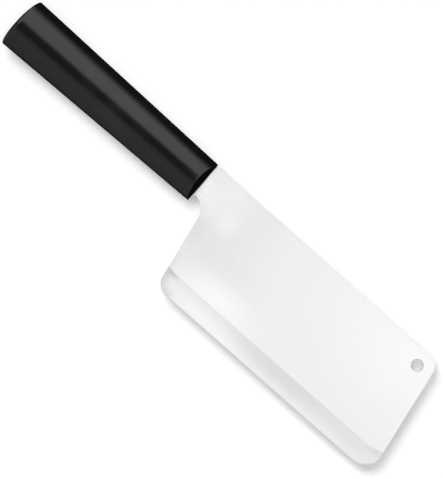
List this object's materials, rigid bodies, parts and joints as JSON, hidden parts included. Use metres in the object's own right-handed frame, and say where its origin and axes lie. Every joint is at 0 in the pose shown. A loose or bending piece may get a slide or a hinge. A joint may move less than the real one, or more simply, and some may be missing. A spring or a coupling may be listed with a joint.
{
  "type": "dicer knife",
  "caption": "Dicer knife: broad rectangular blade with a hollow-ground edge, rounded corners and a hanging hole near the tip, on a straight tapered egg-section handle.",
  "frame": {"origin": "centre of the bounding box, in the middle plane of the blade", "axes": "+X along the handle's axis from the butt towards the blade's tip, +Y towards the spine, +Z square to the blade's face"},
  "size_m": [0.2466, 0.0602, 0.018],
  "materials": {
    "satin_steel": "satin, finely brushed, with a brighter hollow bevel",
    "black_resin": "satin, finely textured"
  },
  "bodies": {
    "root": {"blade": "satin_steel", "handle": "black_resin"}
  },
  "joints": []
}
